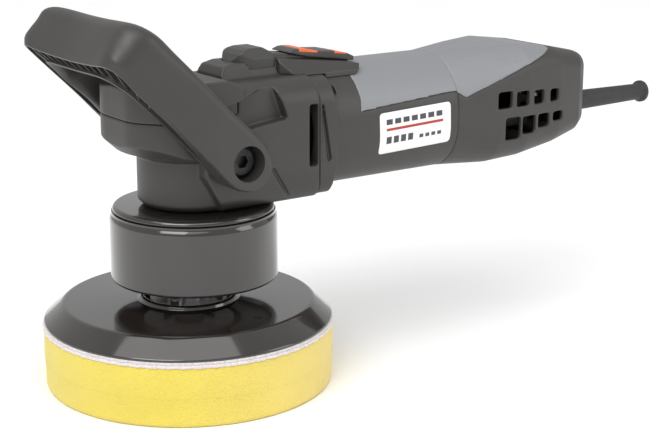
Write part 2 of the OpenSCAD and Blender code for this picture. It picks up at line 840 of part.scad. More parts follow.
module carbon_brushes() {
    x = comm_x + comm_len / 2;
    color("black") on_axis() for (side = [-1, 1])
        box([x - 3.1, side > 0 ? comm_r + 0.3 : -22, -4.4], [x + 3.1, side > 0 ? 22 : -comm_r - 0.3, 4.4]);
}

module brush_springs() {
    x = comm_x + comm_len / 2;
    color("silver") on_axis() for (side = [-1, 1]) translate([x, side * 22, 0]) rotate([-side * 90, 0, 0])
        coil_spring(2.2, 0.4, 5.7, 5);
}

// Curved film on the barrel's near side, with rounded corners
module label_film(gap = 0) {
    intersection() {
        along_y(-barrel_half - 1, -18) translate([120.3, axis_z - 3.2]) rotate(2)
            rounded_rect(48.5 + 2 * gap, 22.5 + 2 * gap, 2);
        difference() {
            on_axis() along_x(seam_x + 30, tail_x) barrel_section(-2 * gap);
            on_axis() along_x(seam_x + 29, tail_x + 1) barrel_section(0.45 + gap);
        }
    }
}

module rating_label() {
    color("white") label_film();
}

// ---------- rear shells ----------

// Section of the tail at one station, with its corners rounded in flats
module tail_section(station, inset) {
    flats = 9;
    round = station[4];
    r = round - inset;
    y = station[3] - round;
    corners = [
        [y, station[1] - round, 0], [-y, station[1] - round, 90],
        [-y, station[2] + round, 180], [y, station[2] + round, 270]
    ];
    polygon([for (c = corners, i = [0:flats]) let (a = c[2] + 90 * i / flats)
        [c[0] + r * cos(a), c[1] + r * sin(a)]]);
}

// Closed form of the tail, inset by a given amount
module tail_form(inset = 0) {
    slice = 0.05;
    hull() for (s = tail_stations) on_axis()
        along_x(tail_x + s[0] * tail_len - (s[0] == 1 ? inset + slice : 0),
            tail_x + s[0] * tail_len + slice - (s[0] == 1 ? inset + slice : 0)) tail_section(s, inset);
}

// Side view of the grey trim over the tail
module rear_trim_outline() {
    translate([tail_x, axis_z]) polygon([
        [0, 50], [0, 13], [5.5, 9.7], [25.2, 15.8], [49.1, 23.3], [64.3, 27.2], [73.9, 30.3], [76, 50]
    ]);
}

module rear_trim() {
    depth = 1.4;
    color("lightslategray") difference() {
        intersection() {
            tail_form();
            along_y(-50, 50) rear_trim_outline();
        }
        translate([-0.01, 0, 0]) tail_form(depth);
        box([tail_x - 20, -60, axis_z - 60], [tail_x, 60, axis_z + 60]);
    }
}

// Two rows of four cooling openings, larger towards the barrel
module tail_vents(side) {
    // each row: start, height, pitch, width and height of the first opening, steps to the next one
    rows = [[28.4, 5.4, 13.8, 10.4, 9.3, -0.4, 0.8], [34.3, -11.5, 12.9, 11.4, 12.6, 1, 2.5]];
    for (row = rows, i = [0:3]) {
        x = tail_x + row[0] + i * row[2];
        z = axis_z + row[1] + i * row[5];
        half = (row[4] - i * row[6]) / 2;
        box([x, side > 0 ? 20 : -41, z - half], [x + row[3] - i, side > 0 ? 41 : -20, z + half]);
    }
}

module shell_screw_places() {
    places = [[18, -23], [56, -21], [58, 17.5], [73, -17], [90, 12]];
    for (p = places) translate([tail_x + p[0], 0, axis_z + p[1]]) rotate([-90, 0, 0]) children();
}

module tail_hollow() {
    difference() {
        tail_form(wall);
        box([tail_x - 20, -60, axis_z - 60], [tail_x - 1, 60, axis_z + 60]);
    }
    on_axis() along_x(tail_x - 1, tail_x + 1) barrel_section(wall);
}

module rear_shell(side) {
    color([0.3, 0.29, 0.28]) difference() {
        intersection() {
            tail_form();
            box([tail_x, side > 0 ? 0 : -60, axis_z - 60], [tail_end_x + 5, side > 0 ? 60 : 0, axis_z + 60]);
        }
        difference() {
            tail_hollow();
            shell_screw_places() cylinder(r = 4.2, h = 80, center = true);
            translate([0, 0, axis_z - 8.5]) rod_x(11.5, tail_end_x - 11, tail_end_x);
        }
        intersection() {
            difference() {
                box([tail_x - 1, -60, axis_z], [tail_end_x, 60, axis_z + 60]);
                translate([-0.01, 0, 0]) tail_form(1.4);
            }
            along_y(-50, 50) rear_trim_outline();
        }
        tail_vents(side);
        shell_screw_places() {
            translate([0, 0, -12]) cylinder(r = 1.5 + eps, h = 60);
            translate([0, 0, 15]) cylinder(r = 3.4, h = 40);
        }
        if (side > 0) translate([dial_x, dial_y, axis_z])
            cylinder(r = dial_r + 0.6, h = dial_w + 1, center = true);
        // groove that holds the flange of the cord sleeve
        translate([0, 0, axis_z - 8.5]) {
            rod_x(6.6, tail_end_x - 20, tail_end_x + 5);
            rod_x(8.6, sleeve_x, sleeve_x + 2.5);
        }
    }
}

module rear_shell_near() {
    rear_shell(-1);
}

module rear_shell_far() {
    rear_shell(1);
}

module shell_screws() {
    color("silver") shell_screw_places() translate([0, 0, 15]) cap_screw(1.5, 24, 3.1, 3, 1.3);
}

module speed_controller() {
    color("seagreen") box([tail_x + 44, -16, axis_z - 14], [tail_x + 66, 5, axis_z - 6]);
    color("seagreen") box([tail_x + 55, 5, axis_z - 14], [tail_x + 61, 24, axis_z - 6]);
}

module speed_dial() {
    teeth = 30;
    color("black") translate([dial_x, dial_y, axis_z - dial_w / 2]) difference() {
        cylinder(r = dial_r, h = dial_w);
        for (i = [0:teeth - 1]) rotate(360 * i / teeth) translate([dial_r, 0, -1])
            cylinder(r = 0.5, h = dial_w + 2, $fn = 16);
    }
}

module switch_block() {
    color("black") difference() {
        box([fan_x + 12.3, -8, axis_z + 20], [fan_x + 18.5, 8, axis_z + 27]);
        box([fan_x + 14, -5, axis_z + 25], [fan_x + 17, 5, axis_z + 60]);
    }
}

module terminal_block() {
    color("ivory") difference() {
        box([tail_x + 24, -10, axis_z - 27], [tail_x + 42, 10, axis_z - 17]);
        for (x = [29, 37], y = [-6, 0, 6]) translate([tail_x + x, y, axis_z - 22]) cylinder(r = 1.4, h = 10);
    }
}

module cord_clamp() {
    color("black") difference() {
        box([tail_end_x - 26, -9, axis_z - 16.5], [tail_end_x - 20.5, 9, axis_z - 0.5]);
        translate([0, 0, axis_z - 8.5]) rod_x(cord_d / 2 + 0.2, tail_end_x - 30, tail_end_x - 20);
        for (y = [-6.5, 6.5]) translate([tail_end_x - 23.2, y, axis_z - 20]) cylinder(r = 1.25 + eps, h = 30);
    }
}

module clamp_screws() {
    color("silver") for (y = [-6.5, 6.5]) translate([tail_end_x - 23.2, y, axis_z - 0.5])
        cap_screw(1.25, 14, 2.3, 2, 1);
}

module strain_relief() {
    root_r = 6.5;
    end_r = 5.2;
    collar_r = 6.8;
    color([0.25, 0.25, 0.25]) translate([0, 0, axis_z - 8.5]) difference() {
        union() {
            rod_x(8.5, sleeve_x + 0.05, sleeve_x + 2.45);
            rod_x(root_r, sleeve_x - 3, sleeve_x + sleeve_len - 2, end_r);
            rod_x(end_r, sleeve_x + sleeve_len - 4.5, sleeve_x + sleeve_len - 2, collar_r);
            rod_x(collar_r, sleeve_x + sleeve_len - 2, sleeve_x + sleeve_len);
        }
        rod_x(cord_d / 2 + 0.2, sleeve_x - 5, sleeve_x + sleeve_len + 1);
    }
}

// ---------- switch and lock ----------

// Side view in the slider's own slope: X from its front, Z from the bezel's top
module along_slope() {
    translate([switch_x, 0, bezel_top - (switch_x - bezel_x) * tan(switch_slope)])
        rotate([0, switch_slope, 0]) children();
}

// Trim piece on the gear head and the barrel that carries the slider
module switch_bezel() {
    top_half = 9.5;
    base_half = 19.5;
    bezel_end_z = bezel_top - (bezel_end_x - bezel_x) * tan(switch_slope);
    low = 8;               // the flanks run on below the deck, down to the barrel
    low_half = base_half + low * (base_half - top_half) / (bezel_top - deck_z);
    color([0.27, 0.26, 0.25]) difference() {
        intersection() {
            along_y(-20, 20) polygon([
                [bezel_x, deck_z], [seam_x, deck_z], [seam_x, deck_z - low], [bezel_end_x - 9, deck_z - low],
                [bezel_end_x, bezel_end_z - 1], [bezel_end_x, bezel_end_z], [bezel_x, bezel_top]
            ]);
            along_x(bezel_x, bezel_end_x) polygon([
                [-low_half, deck_z - low], [-top_half, bezel_top],
                [top_half, bezel_top], [low_half, deck_z - low]
            ]);
            // in plan it widens from the head's spine
            translate([0, 0, deck_z - low - 1]) linear_extrude(60) polygon([
                [bezel_x, -13.2], [bezel_x + 13, -low_half], [bezel_end_x, -low_half],
                [bezel_end_x, low_half], [bezel_x + 13, low_half], [bezel_x, 13.2]
            ]);
        }
        on_axis() along_x(seam_x - 1, bezel_end_x + 1) barrel_section(-0.1);
        translate([0, 0, axis_z - 1]) along_x(seam_x - 1, seam_x + 12.6) head_section(head_half - 2.9);
        // shoulders beside the slider's skirts
        along_slope() for (side = [-1, 1])
            box([-20, side > 0 ? skirt_in - 0.3 : -30, -skirt - 0.3],
                [60, side > 0 ? 30 : 0.3 - skirt_in, 20]);
        switch_slot();
    }
}

// Side view of the slider's upper body and skirts, from its front edge back
module slider_outline(top) {
    tail = switch_len - 5;
    polygon([
        [0, 0.4], [0, 1], [3, top - 0.9], [8, top], [11, top], [15, top - 0.8], [20, top - 1],
        [27, top - 0.6], [34, top - 0.9], [tail, top - 1.4], [switch_len, 0.4], [switch_len, -skirt],
        [12, -skirt * 0.6]
    ]);
}

module switch_slider() {
    tongue_x = slot_x + slot_len - 0.4 - switch_x;
    color("black") along_slope() difference() {
        union() {
            difference() {
                along_y(-switch_half, switch_half) slider_outline(3.4);
                box([-1, -skirt_in, -5], [switch_len + 1, skirt_in, 0.4]);
            }
            box([tongue_x - 13, -slot_half, -8], [tongue_x, slot_half, 1]);
        }
        slider_pad_places();
    }
}

// Places of the two coloured finger pads in the slider's top
module slider_pad_places() {
    for (x = [[6, 18], [29, 37]]) box([x[0], -switch_half - 1, 1.2], [x[1], switch_half + 1, 6]);
}

module switch_pads() {
    color("tomato") along_slope() intersection() {
        slider_pad_places();
        along_y(-switch_half, switch_half) slider_outline(3.2);
    }
}

module lock_button() {
    skirt_z = axis_z + 27;
    color([0.2, 0.2, 0.2]) difference() {
        intersection() {
            translate([0, 0, skirt_z]) linear_extrude(lock_top_z - skirt_z) lock_plan();
            along_x(0, lock_rear + 1) polygon([
                [-lock_half, skirt_z], [-lock_half, lock_top_z - 5], [-lock_half + 3.5, lock_top_z],
                [lock_half - 3.5, lock_top_z], [lock_half, lock_top_z - 5], [lock_half, skirt_z]
            ]);
            along_y(-20, 20) polygon([
                [lock_front, skirt_z], [lock_front, lock_top_z - 9], [lock_front + 1, lock_top_z - 6],
                [lock_front + 3.2, lock_top_z - 2.8], [lock_front + 6.2, lock_top_z - 0.8],
                [lock_front + 9.5, lock_top_z], [lock_rear - 5, lock_top_z], [lock_rear, lock_top_z - 3],
                [lock_rear, skirt_z]
            ]);
        }
        translate([lock_x, 0, skirt_z - 1]) cylinder(r = 2.5, h = 9);
        translate([lock_x, 0, skirt_z - 1]) cylinder(r = 5, h = 4);
    }
}

module lock_pin() {
    tip_z = axis_z + lock_ring_r + lock_stroke + 0.5;
    color("silver") translate([lock_x, 0, tip_z]) cylinder(r = 2.5, h = axis_z + 35 - tip_z);
}

module lock_spring() {
    color("silver") translate([lock_x, 0, axis_z + 21]) coil_spring(4.1, 0.5, 8.9, 4);
}

// ---------- front handle ----------

// Side view of one arm with the round end that holds the screw
module arm_outline(inset = 0) {
    offset(delta = -inset) translate([0, axis_z]) polygon([
        [11.8, 4.6], [-8.6, 25.3], [-28.6, 46.2], [-41, 58], [-50, 64], [-57, 66.8],
        [-66, 61], [-70.2, 50], [-62, 40], [-50.9, 33], [-35.4, 15.5], [-15, -5.9], [-7, -14]
    ]);
}

// Section of the cross-grip
module grip_outline(inset = 0) {
    offset(delta = -inset) translate([0, axis_z]) polygon([
        [-70.2, 48.5], [-67, 57.5], [-62.5, 64.2], [-57, 66.8], [-50, 66], [-44.5, 62.5], [-41.5, 57],
        [-42.5, 50.5], [-48, 44.5], [-56, 41.5], [-65.2, 41.5]
    ]);
}

module front_handle() {
    color([0.31, 0.3, 0.29]) difference() {
        union() {
            for (side = [-1, 1]) {
                along_y(side > 0 ? arm_in + 0.5 : -arm_out, side > 0 ? arm_out : -arm_in - 0.5) arm_outline();
                translate([bolt_x, 0, bolt_z])
                    rod_y(arm_end_r, side > 0 ? arm_in : -arm_out, side > 0 ? arm_out : -arm_in);
            }
            along_y(-arm_in - 1, arm_in + 1) grip_outline();
        }
        // hollow, open along the front edge
        difference() {
            union() {
                along_y(-arm_in - 2, arm_in + 2) handle_channel() grip_outline(skin);
                for (side = [-1, 1])
                    along_y(side > 0 ? arm_in + skin : skin - arm_out,
                        side > 0 ? arm_out - skin : -arm_in - skin) handle_channel() arm_outline(skin);
            }
            grip_rib_plates();
            translate([bolt_x, 0, bolt_z]) rod_y(arm_end_r + 2, -60, 60);
        }
        for (side = [-1, 1]) translate([bolt_x, 0, bolt_z]) {
            rod_y(9, side > 0 ? arm_in + 4 : -60, side > 0 ? 60 : -arm_in - 4);
            rod_y(4 + eps, side > 0 ? arm_in - 1 : -60, side > 0 ? 60 : 1 - arm_in);
        }
    }
}

// The hollow's outline, stretched out through the front edge
module handle_channel() {
    children();
    intersection() {
        union() for (d = [0:3:9]) translate([-0.75 * d, -0.66 * d]) children();
        translate([0, axis_z]) polygon([[-85, 25], [-75, 50], [-62, 47], [-47, 33], [-18, 3], [-40, 0]]);
    }
}

// Slanted ribs across the hollow of the grip
module grip_rib_plates() {
    rib = 1.2;
    step = 2 * arm_in / grip_ribs;
    for (i = [0:grip_ribs]) translate([-56, -arm_in + i * step, axis_z + 50]) rotate([-45, 0, 0])
        cube([40, rib, 50], center = true);
}

module handle_screws() {
    color("dimgray") for (side = [-1, 1]) translate([bolt_x, side * (arm_in + 4), bolt_z])
        rotate([-side * 90, 0, 0]) cap_screw(4, insert_len + 3, 6.5, 6, 3.4);
}

module handle_inserts() {
    color("goldenrod") for (side = [-1, 1]) translate([bolt_x, 0, bolt_z]) difference() {
        rod_y(6, side > 0 ? arm_in - insert_len : -arm_in, side > 0 ? arm_in : insert_len - arm_in);
        rod_y(4 + eps, -arm_out, arm_out);
    }
}

foam_pad();
loop_layer();
hook_disc();
backing_plate();
pad_spindle();
plate_screws();
pad_circlip();
output_spindle();
crown_gear();
eccentric_carrier();
counterweight();
drum_cap();
drum_shell();
drum_screws();
pad_bearings();
carrier_circlip();
gear_case();
gear_cover();
cover_screws();
spindle_bearing();
spindle_bush();
bearing_circlip();
case_screws();
pinion();
armature_shaft();
cooling_fan();
armature_core();
armature_windings();
commutator();
front_bearing();
rear_bearing();
motor_housing();
front_trim();
stator_core();
field_coils();
brush_bracket();
brush_holders();
carbon_brushes();
brush_springs();
rear_shell_near();
rear_shell_far();
rear_trim();
shell_screws();
speed_controller();
speed_dial();
switch_block();
terminal_block();
cord_clamp();
clamp_screws();
strain_relief();
rating_label();
switch_bezel();
switch_slider();
switch_pads();
lock_button();
lock_pin();
lock_spring();
front_handle();
handle_screws();
handle_inserts();
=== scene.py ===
import json
import math

import bmesh
import bpy
from mathutils import Matrix, Vector


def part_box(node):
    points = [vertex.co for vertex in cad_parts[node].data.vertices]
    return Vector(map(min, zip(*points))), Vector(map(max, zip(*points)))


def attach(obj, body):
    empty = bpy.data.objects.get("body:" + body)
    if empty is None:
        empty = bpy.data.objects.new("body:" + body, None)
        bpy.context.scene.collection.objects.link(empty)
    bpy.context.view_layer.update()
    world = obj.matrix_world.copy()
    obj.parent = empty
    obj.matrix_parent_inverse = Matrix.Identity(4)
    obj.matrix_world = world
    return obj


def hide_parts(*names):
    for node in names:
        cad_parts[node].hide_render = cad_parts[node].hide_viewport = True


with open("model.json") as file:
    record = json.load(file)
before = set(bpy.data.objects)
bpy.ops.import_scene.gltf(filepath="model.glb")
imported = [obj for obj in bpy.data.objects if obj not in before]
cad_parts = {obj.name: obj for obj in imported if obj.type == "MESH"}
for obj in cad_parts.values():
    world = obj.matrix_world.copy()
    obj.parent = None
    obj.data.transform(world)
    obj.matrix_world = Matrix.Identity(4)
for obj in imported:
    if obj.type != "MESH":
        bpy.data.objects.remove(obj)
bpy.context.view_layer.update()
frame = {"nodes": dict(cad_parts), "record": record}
nodes = frame["nodes"]
MM = 0.001


# ---------- node trees ----------

class Shader:
    """A Principled material with helpers for its procedural inputs."""

    def __init__(self, name, colour, rough, metal=0.0):
        self.mat = bpy.data.materials.new(name)
        self.mat.use_nodes = True
        self.tree = self.mat.node_tree
        self.bsdf = self.tree.nodes["Principled BSDF"]
        self.bsdf.inputs["Base Color"].default_value = (*colour, 1)
        self.bsdf.inputs["Roughness"].default_value = rough
        self.bsdf.inputs["Metallic"].default_value = metal
        self.coords = self.tree.nodes.new("ShaderNodeTexCoord").outputs["Object"]
        self.height = None

    def node(self, kind, **values):
        n = self.tree.nodes.new(kind)
        for key, value in values.items():
            setattr(n, key, value)
        return n

    def link(self, a, b):
        self.tree.links.new(a, b)

    def noise(self, scale, detail=3.0, stretch=None):
        n = self.node("ShaderNodeTexNoise")
        n.inputs["Scale"].default_value = scale
        n.inputs["Detail"].default_value = detail
        coords = self.coords
        if stretch:
            m = self.node("ShaderNodeMapping")
            m.inputs["Scale"].default_value = stretch
            self.link(coords, m.inputs["Vector"])
            coords = m.outputs["Vector"]
        self.link(coords, n.inputs["Vector"])
        return n.outputs["Fac"]

    def voronoi(self, scale):
        n = self.node("ShaderNodeTexVoronoi")
        n.inputs["Scale"].default_value = scale
        self.link(self.coords, n.inputs["Vector"])
        return n.outputs["Distance"]

    def ramp(self, fac, stops):
        """Colours a value by two stops of (position, colour)."""
        n = self.node("ShaderNodeValToRGB")
        for element, (at, colour) in zip(n.color_ramp.elements, stops):
            element.position = at
            element.color = (*colour, 1)
        self.link(fac, n.inputs["Fac"])
        return n.outputs["Color"]

    def spread(self, fac, low, high):
        """Maps 0 to 1 onto a range of values."""
        n = self.node("ShaderNodeMapRange")
        n.inputs["To Min"].default_value = low
        n.inputs["To Max"].default_value = high
        self.link(fac, n.inputs["Value"])
        return n.outputs["Result"]

    def mottle(self, scale, dark, light, detail=4.0, stretch=None):
        """Varies the colour between two tones."""
        fac = self.noise(scale, detail, stretch)
        self.link(self.ramp(fac, [(0.3, dark), (0.7, light)]), self.bsdf.inputs["Base Color"])

    def vary_rough(self, scale, low, high, stretch=None):
        """Varies the roughness between two values."""
        sheen = self.spread(self.noise(scale, 4.0, stretch), low, high)
        self.link(sheen, self.bsdf.inputs["Roughness"])

    def bump(self, fac, strength, distance):
        """Adds a relief, in metres, on top of the reliefs before it."""
        n = self.node("ShaderNodeBump")
        n.inputs["Strength"].default_value = strength
        n.inputs["Distance"].default_value = distance
        self.link(fac, n.inputs["Height"])
        if self.height:
            self.link(self.height, n.inputs["Normal"])
        self.height = n.outputs["Normal"]
        self.link(self.height, self.bsdf.inputs["Normal"])

    def set(self, **values):
        for key, value in values.items():
            self.bsdf.inputs[key.replace("_", " ")].default_value = value


def tone(colour, factor):
    return tuple(c * factor for c in colour)


def moulded_plastic(name, colour, rough=0.5, grain=1.0):
    """Fine spark-eroded grain, faint flow marks and slightly uneven sheen."""
    s = Shader(name, colour, rough)
    s.mottle(28, tone(colour, 0.9), tone(colour, 1.1))
    s.vary_rough(60, rough - 0.05, rough + 0.07)
    s.bump(s.noise(2600, 2.0), 0.25 * grain, 0.00010)
    s.bump(s.noise(700, 3.0), 0.10 * grain, 0.00015)
    return s.mat


def silver_paint(name, colour):
    """Matt metallic paint with fine flakes."""
    s = Shader(name, colour, 0.5, 0.15)
    s.mottle(5200, tone(colour, 0.92), tone(colour, 1.08), 1.0)
    s.vary_rough(90, 0.46, 0.56)
    s.bump(s.noise(1800, 2.0), 0.12, 0.00006)
    s.set(Coat_Weight=0.1, Coat_Roughness=0.4)
    return s.mat


def gloss_black(name, colour):
    """Polished black plastic with slight waves."""
    s = Shader(name, colour, 0.1)
    s.mottle(40, tone(colour, 0.8), tone(colour, 1.3))
    s.vary_rough(140, 0.07, 0.16)
    s.bump(s.noise(55, 2.0), 0.06, 0.0004)
    s.set(Coat_Weight=0.7, Coat_Roughness=0.06, Specular_IOR_Level=0.6)
    return s.mat


def foam(name, colour):
    """Open-cell polishing foam: pores of two sizes, with painted shade in them, and painted backlight
    that makes the colour paler along +X.
    """
    backlight_from, backlight_to = -50 * MM, 60 * MM
    s = Shader(name, colour, 0.95)
    base = s.noise(22, 3.0)
    foam_tone = s.ramp(base, [(0.3, tone(colour, 0.95)), (0.7, tone(colour, 1.05))])
    # The paler, warmer tone is painted light: it is the foam's +X side lit by the backlight, not a
    # second foam colour.
    backlit_tone = s.ramp(base, [(0.3, (0.80, 0.62, 0.165)), (0.7, (0.84, 0.66, 0.20))])
    # The share of painted backlight rises along X across this span.
    axes = s.node("ShaderNodeSeparateXYZ")
    s.link(s.coords, axes.inputs["Vector"])
    across = s.node("ShaderNodeMapRange")
    across.inputs["From Min"].default_value = backlight_from
    across.inputs["From Max"].default_value = backlight_to
    s.link(axes.outputs["X"], across.inputs["Value"])
    blend = s.node("ShaderNodeMix", data_type="RGBA")
    s.link(across.outputs["Result"], blend.inputs["Factor"])
    s.link(foam_tone, blend.inputs["A"])
    s.link(backlit_tone, blend.inputs["B"])
    cells = s.voronoi(1500)
    # Painted shade: the colour darkens toward each pore's middle, standing in for shadow inside the
    # open cells.
    painted_pore_shade = s.ramp(cells, [(0.0, (0.72, 0.66, 0.5)), (0.35, (1, 1, 1))])
    mix = s.node("ShaderNodeMix", data_type="RGBA", blend_type="MULTIPLY")
    mix.inputs["Factor"].default_value = 0.6
    s.link(blend.outputs["Result"], mix.inputs["A"])
    s.link(painted_pore_shade, mix.inputs["B"])
    s.link(mix.outputs["Result"], s.bsdf.inputs["Base Color"])
    s.bump(cells, 0.5, 0.0006)
    s.bump(s.noise(900, 5.0), 0.4, 0.0008)
    s.set(Sheen_Weight=0.25, Sheen_Roughness=0.6)
    return s.mat


def pile_fabric(name, colour):
    """The short pile of a hook or loop face."""
    s = Shader(name, colour, 0.95)
    s.mottle(1400, tone(colour, 0.78), tone(colour, 1.06), 5.0)
    s.bump(s.noise(3000, 4.0), 0.7, 0.0006)
    s.bump(s.voronoi(1900), 0.4, 0.0004)
    s.set(Sheen_Weight=0.4, Sheen_Roughness=0.5)
    return s.mat


def turned_steel(name, colour, rough=0.28):
    """Bare metal with fine turning marks."""
    s = Shader(name, colour, rough, 1.0)
    s.mottle(45, tone(colour, 0.88), tone(colour, 1.08))
    s.vary_rough(260, rough - 0.06, rough + 0.1, (1, 1, 9))
    s.bump(s.noise(420, 2.0, (1, 1, 14)), 0.15, 0.00008)
    return s.mat


def black_oxide(name, colour):
    """Blackened screws and gears."""
    s = Shader(name, colour, 0.4, 0.75)
    s.mottle(260, tone(colour, 0.75), tone(colour, 1.4))
    s.vary_rough(500, 0.3, 0.48)
    s.bump(s.noise(1500, 3.0), 0.2, 0.0001)
    return s.mat


def cast_alloy(name, colour):
    """Grainy die-cast metal."""
    s = Shader(name, colour, 0.5, 0.9)
    s.mottle(180, tone(colour, 0.85), tone(colour, 1.1))
    s.bump(s.noise(900, 5.0), 0.45, 0.0003)
    s.vary_rough(300, 0.42, 0.6)
    return s.mat


def banded(name, dark, light, scale, rough, metal, direction="X"):
    """Fine parallel bands: stacked laminations or wound wire."""
    s = Shader(name, light, rough, metal)
    wave = s.node("ShaderNodeTexWave", bands_direction=direction)
    wave.inputs["Scale"].default_value = scale
    wave.inputs["Distortion"].default_value = 0.6
    s.link(s.coords, wave.inputs["Vector"])
    bands = s.ramp(wave.outputs["Fac"], [(0.25, dark), (0.75, light)])
    s.link(bands, s.bsdf.inputs["Base Color"])
    s.vary_rough(300, rough - 0.08, rough + 0.08)
    s.bump(wave.outputs["Fac"], 0.5, 0.0002)
    return s.mat


def soft_rubber(name, colour):
    """Matt moulded rubber."""
    s = Shader(name, colour, 0.62)
    s.mottle(120, tone(colour, 0.85), tone(colour, 1.15))
    s.vary_rough(400, 0.55, 0.7)
    s.bump(s.noise(1700, 3.0), 0.25, 0.00012)
    return s.mat


def printed_film(name, colour, rough=0.32):
    """Smooth label film or ink."""
    s = Shader(name, colour, rough)
    s.mottle(300, tone(colour, 0.97), tone(colour, 1.02))
    s.vary_rough(500, rough - 0.05, rough + 0.05)
    s.bump(s.noise(1200, 2.0), 0.08, 0.00005)
    s.set(Coat_Weight=0.15, Coat_Roughness=0.2)
    return s.mat


def potted_board(name, colour):
    """A circuit board under cast resin."""
    s = Shader(name, colour, 0.4)
    s.mottle(500, tone(colour, 0.6), tone(colour, 1.5))
    s.bump(s.noise(300, 2.0), 0.3, 0.0003)
    return s.mat


GREY = (0.037, 0.0345, 0.0315)
SILVER = (0.225, 0.232, 0.246)
IRON_DARK, IRON_LIGHT = (0.10, 0.11, 0.12), (0.32, 0.33, 0.35)
COPPER_DARK, COPPER_LIGHT = (0.35, 0.12, 0.04), (0.78, 0.34, 0.14)
MATERIALS = {
    "housing_plastic": moulded_plastic("housing_plastic", GREY, 0.42),
    "button_plastic": moulded_plastic("button_plastic", (0.045, 0.043, 0.042), 0.4, 0.7),
    "grey_trim": silver_paint("grey_trim", SILVER),
    "gloss_black": gloss_black("gloss_black", (0.018, 0.015, 0.013)),
    "foam": foam("foam", (0.72, 0.59, 0.085)),
    "loop_fabric": pile_fabric("loop_fabric", (0.80, 0.73, 0.73)),
    "hook_fabric": pile_fabric("hook_fabric", (0.74, 0.70, 0.70)),
    "steel": turned_steel("steel", (0.56, 0.56, 0.57)),
    "dark_steel": black_oxide("dark_steel", (0.035, 0.034, 0.034)),
    "cast_carrier": cast_alloy("cast_carrier", (0.4, 0.4, 0.41)),
    "laminated_iron": banded("laminated_iron", IRON_DARK, IRON_LIGHT, 900, 0.45, 0.85),
    "copper": banded("copper", COPPER_DARK, COPPER_LIGHT, 700, 0.32, 0.9, "DIAGONAL"),
    "brass": turned_steel("brass", (0.65, 0.45, 0.16), 0.3),
    "inner_plastic": moulded_plastic("inner_plastic", (0.02, 0.02, 0.02), 0.55),
    "potting": potted_board("potting", (0.006, 0.014, 0.010)),
    "sleeve_rubber": soft_rubber("sleeve_rubber", (0.028, 0.027, 0.027)),
    "label_film": printed_film("label_film", (0.86, 0.86, 0.86)),
    "accent_orange": moulded_plastic("accent_orange", (0.80, 0.16, 0.05), 0.38, 0.6),
}


# ---------- mesh helpers ----------

def linked(name, data):
    """A new object in the scene."""
    obj = bpy.data.objects.new(name, data)
    bpy.context.scene.collection.objects.link(obj)
    return obj


def piece(name, mesh, slot, body, smooth_deg=38, material=None):
    """Links a mesh as a finished piece on its body, with its material."""
    obj = linked(name, mesh)
    mesh.polygons.foreach_set("use_smooth", [True] * len(mesh.polygons))
    mesh.set_sharp_from_angle(angle=math.radians(smooth_deg))
    mesh.materials.clear()
    mesh.materials.append(material or MATERIALS[slot])
    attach(obj, body)
    return obj


def from_lists(name, verts, faces):
    """A mesh with doubled points merged and its faces turned outwards."""
    mesh = bpy.data.meshes.new(name)
    mesh.from_pydata([tuple(v) for v in verts], [], faces)
    bm = bmesh.new()
    bm.from_mesh(mesh)
    bmesh.ops.remove_doubles(bm, verts=bm.verts, dist=1e-7)
    bmesh.ops.recalc_face_normals(bm, faces=bm.faces)
    bm.to_mesh(mesh)
    bm.free()
    return mesh


def rounded(profile, radii, steps=5):
    """A polyline in (r, z) whose corners are rounded: radii holds the reach of each by its index."""
    out = []
    for i, p in enumerate(profile):
        r = radii.get(i, 0)
        if not r or i in (0, len(profile) - 1):
            out.append(p)
            continue
        a, b, c = Vector(profile[i - 1]), Vector(p), Vector(profile[i + 1])
        u, v = (a - b).normalized(), (c - b).normalized()
        start, end = b + u * r, b + v * r
        for k in range(steps + 1):
            t = k / steps
            q = start * (1 - t) ** 2 + b * 2 * t * (1 - t) + end * t * t
            out.append((q.x, q.y))
    return out


def lathe(name, profile, centre=(0, 0), segments=144, wobble=None):
    """Revolves a profile of (r, z), which starts and ends on the axis, about a vertical line."""
    verts, faces = [], []
    rows = len(profile)
    for i in range(segments):
        a = 2 * math.pi * i / segments
        for r, z in profile:
            if wobble:
                r, z = wobble(a, r, z)
            verts.append((centre[0] + r * math.cos(a), centre[1] + r * math.sin(a), z))
    for i in range(segments):
        j = (i + 1) % segments
        for k in range(rows - 1):
            faces.append((i * rows + k, j * rows + k, j * rows + k + 1, i * rows + k + 1))
    return from_lists(name, verts, faces)


def applied(obj, name):
    """The object's mesh with its modifiers applied, as a new mesh."""
    bpy.context.view_layer.update()
    graph = bpy.context.evaluated_depsgraph_get()
    mesh = bpy.data.meshes.new_from_object(obj.evaluated_get(graph))
    mesh.name = name
    return mesh


def softened(name, source, voxel, passes, keep):
    """A moulded copy of a CAD node: one skin with softly rounded edges.
    keep is the share of faces left after thinning."""
    bm = bmesh.new()
    bm.from_mesh(nodes[source].data)
    bmesh.ops.remove_doubles(bm, verts=bm.verts, dist=1e-6)
    mesh = bpy.data.meshes.new(name + "_raw")
    bm.to_mesh(mesh)
    bm.free()
    obj = linked(name + "_raw", mesh)
    remesh = obj.modifiers.new("remesh", "REMESH")
    remesh.mode = "VOXEL"
    remesh.voxel_size = voxel
    smooth = obj.modifiers.new("smooth", "SMOOTH")
    smooth.factor = 0.5
    smooth.iterations = passes
    thin = obj.modifiers.new("thin", "DECIMATE")
    thin.ratio = keep
    out = applied(obj, name)
    bpy.data.objects.remove(obj)
    bpy.data.meshes.remove(mesh)
    return out


# ---------- pad and drum ----------

def heights(node):
    """The lowest and highest z of a CAD node."""
    low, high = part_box(node)
    return low.z, high.z


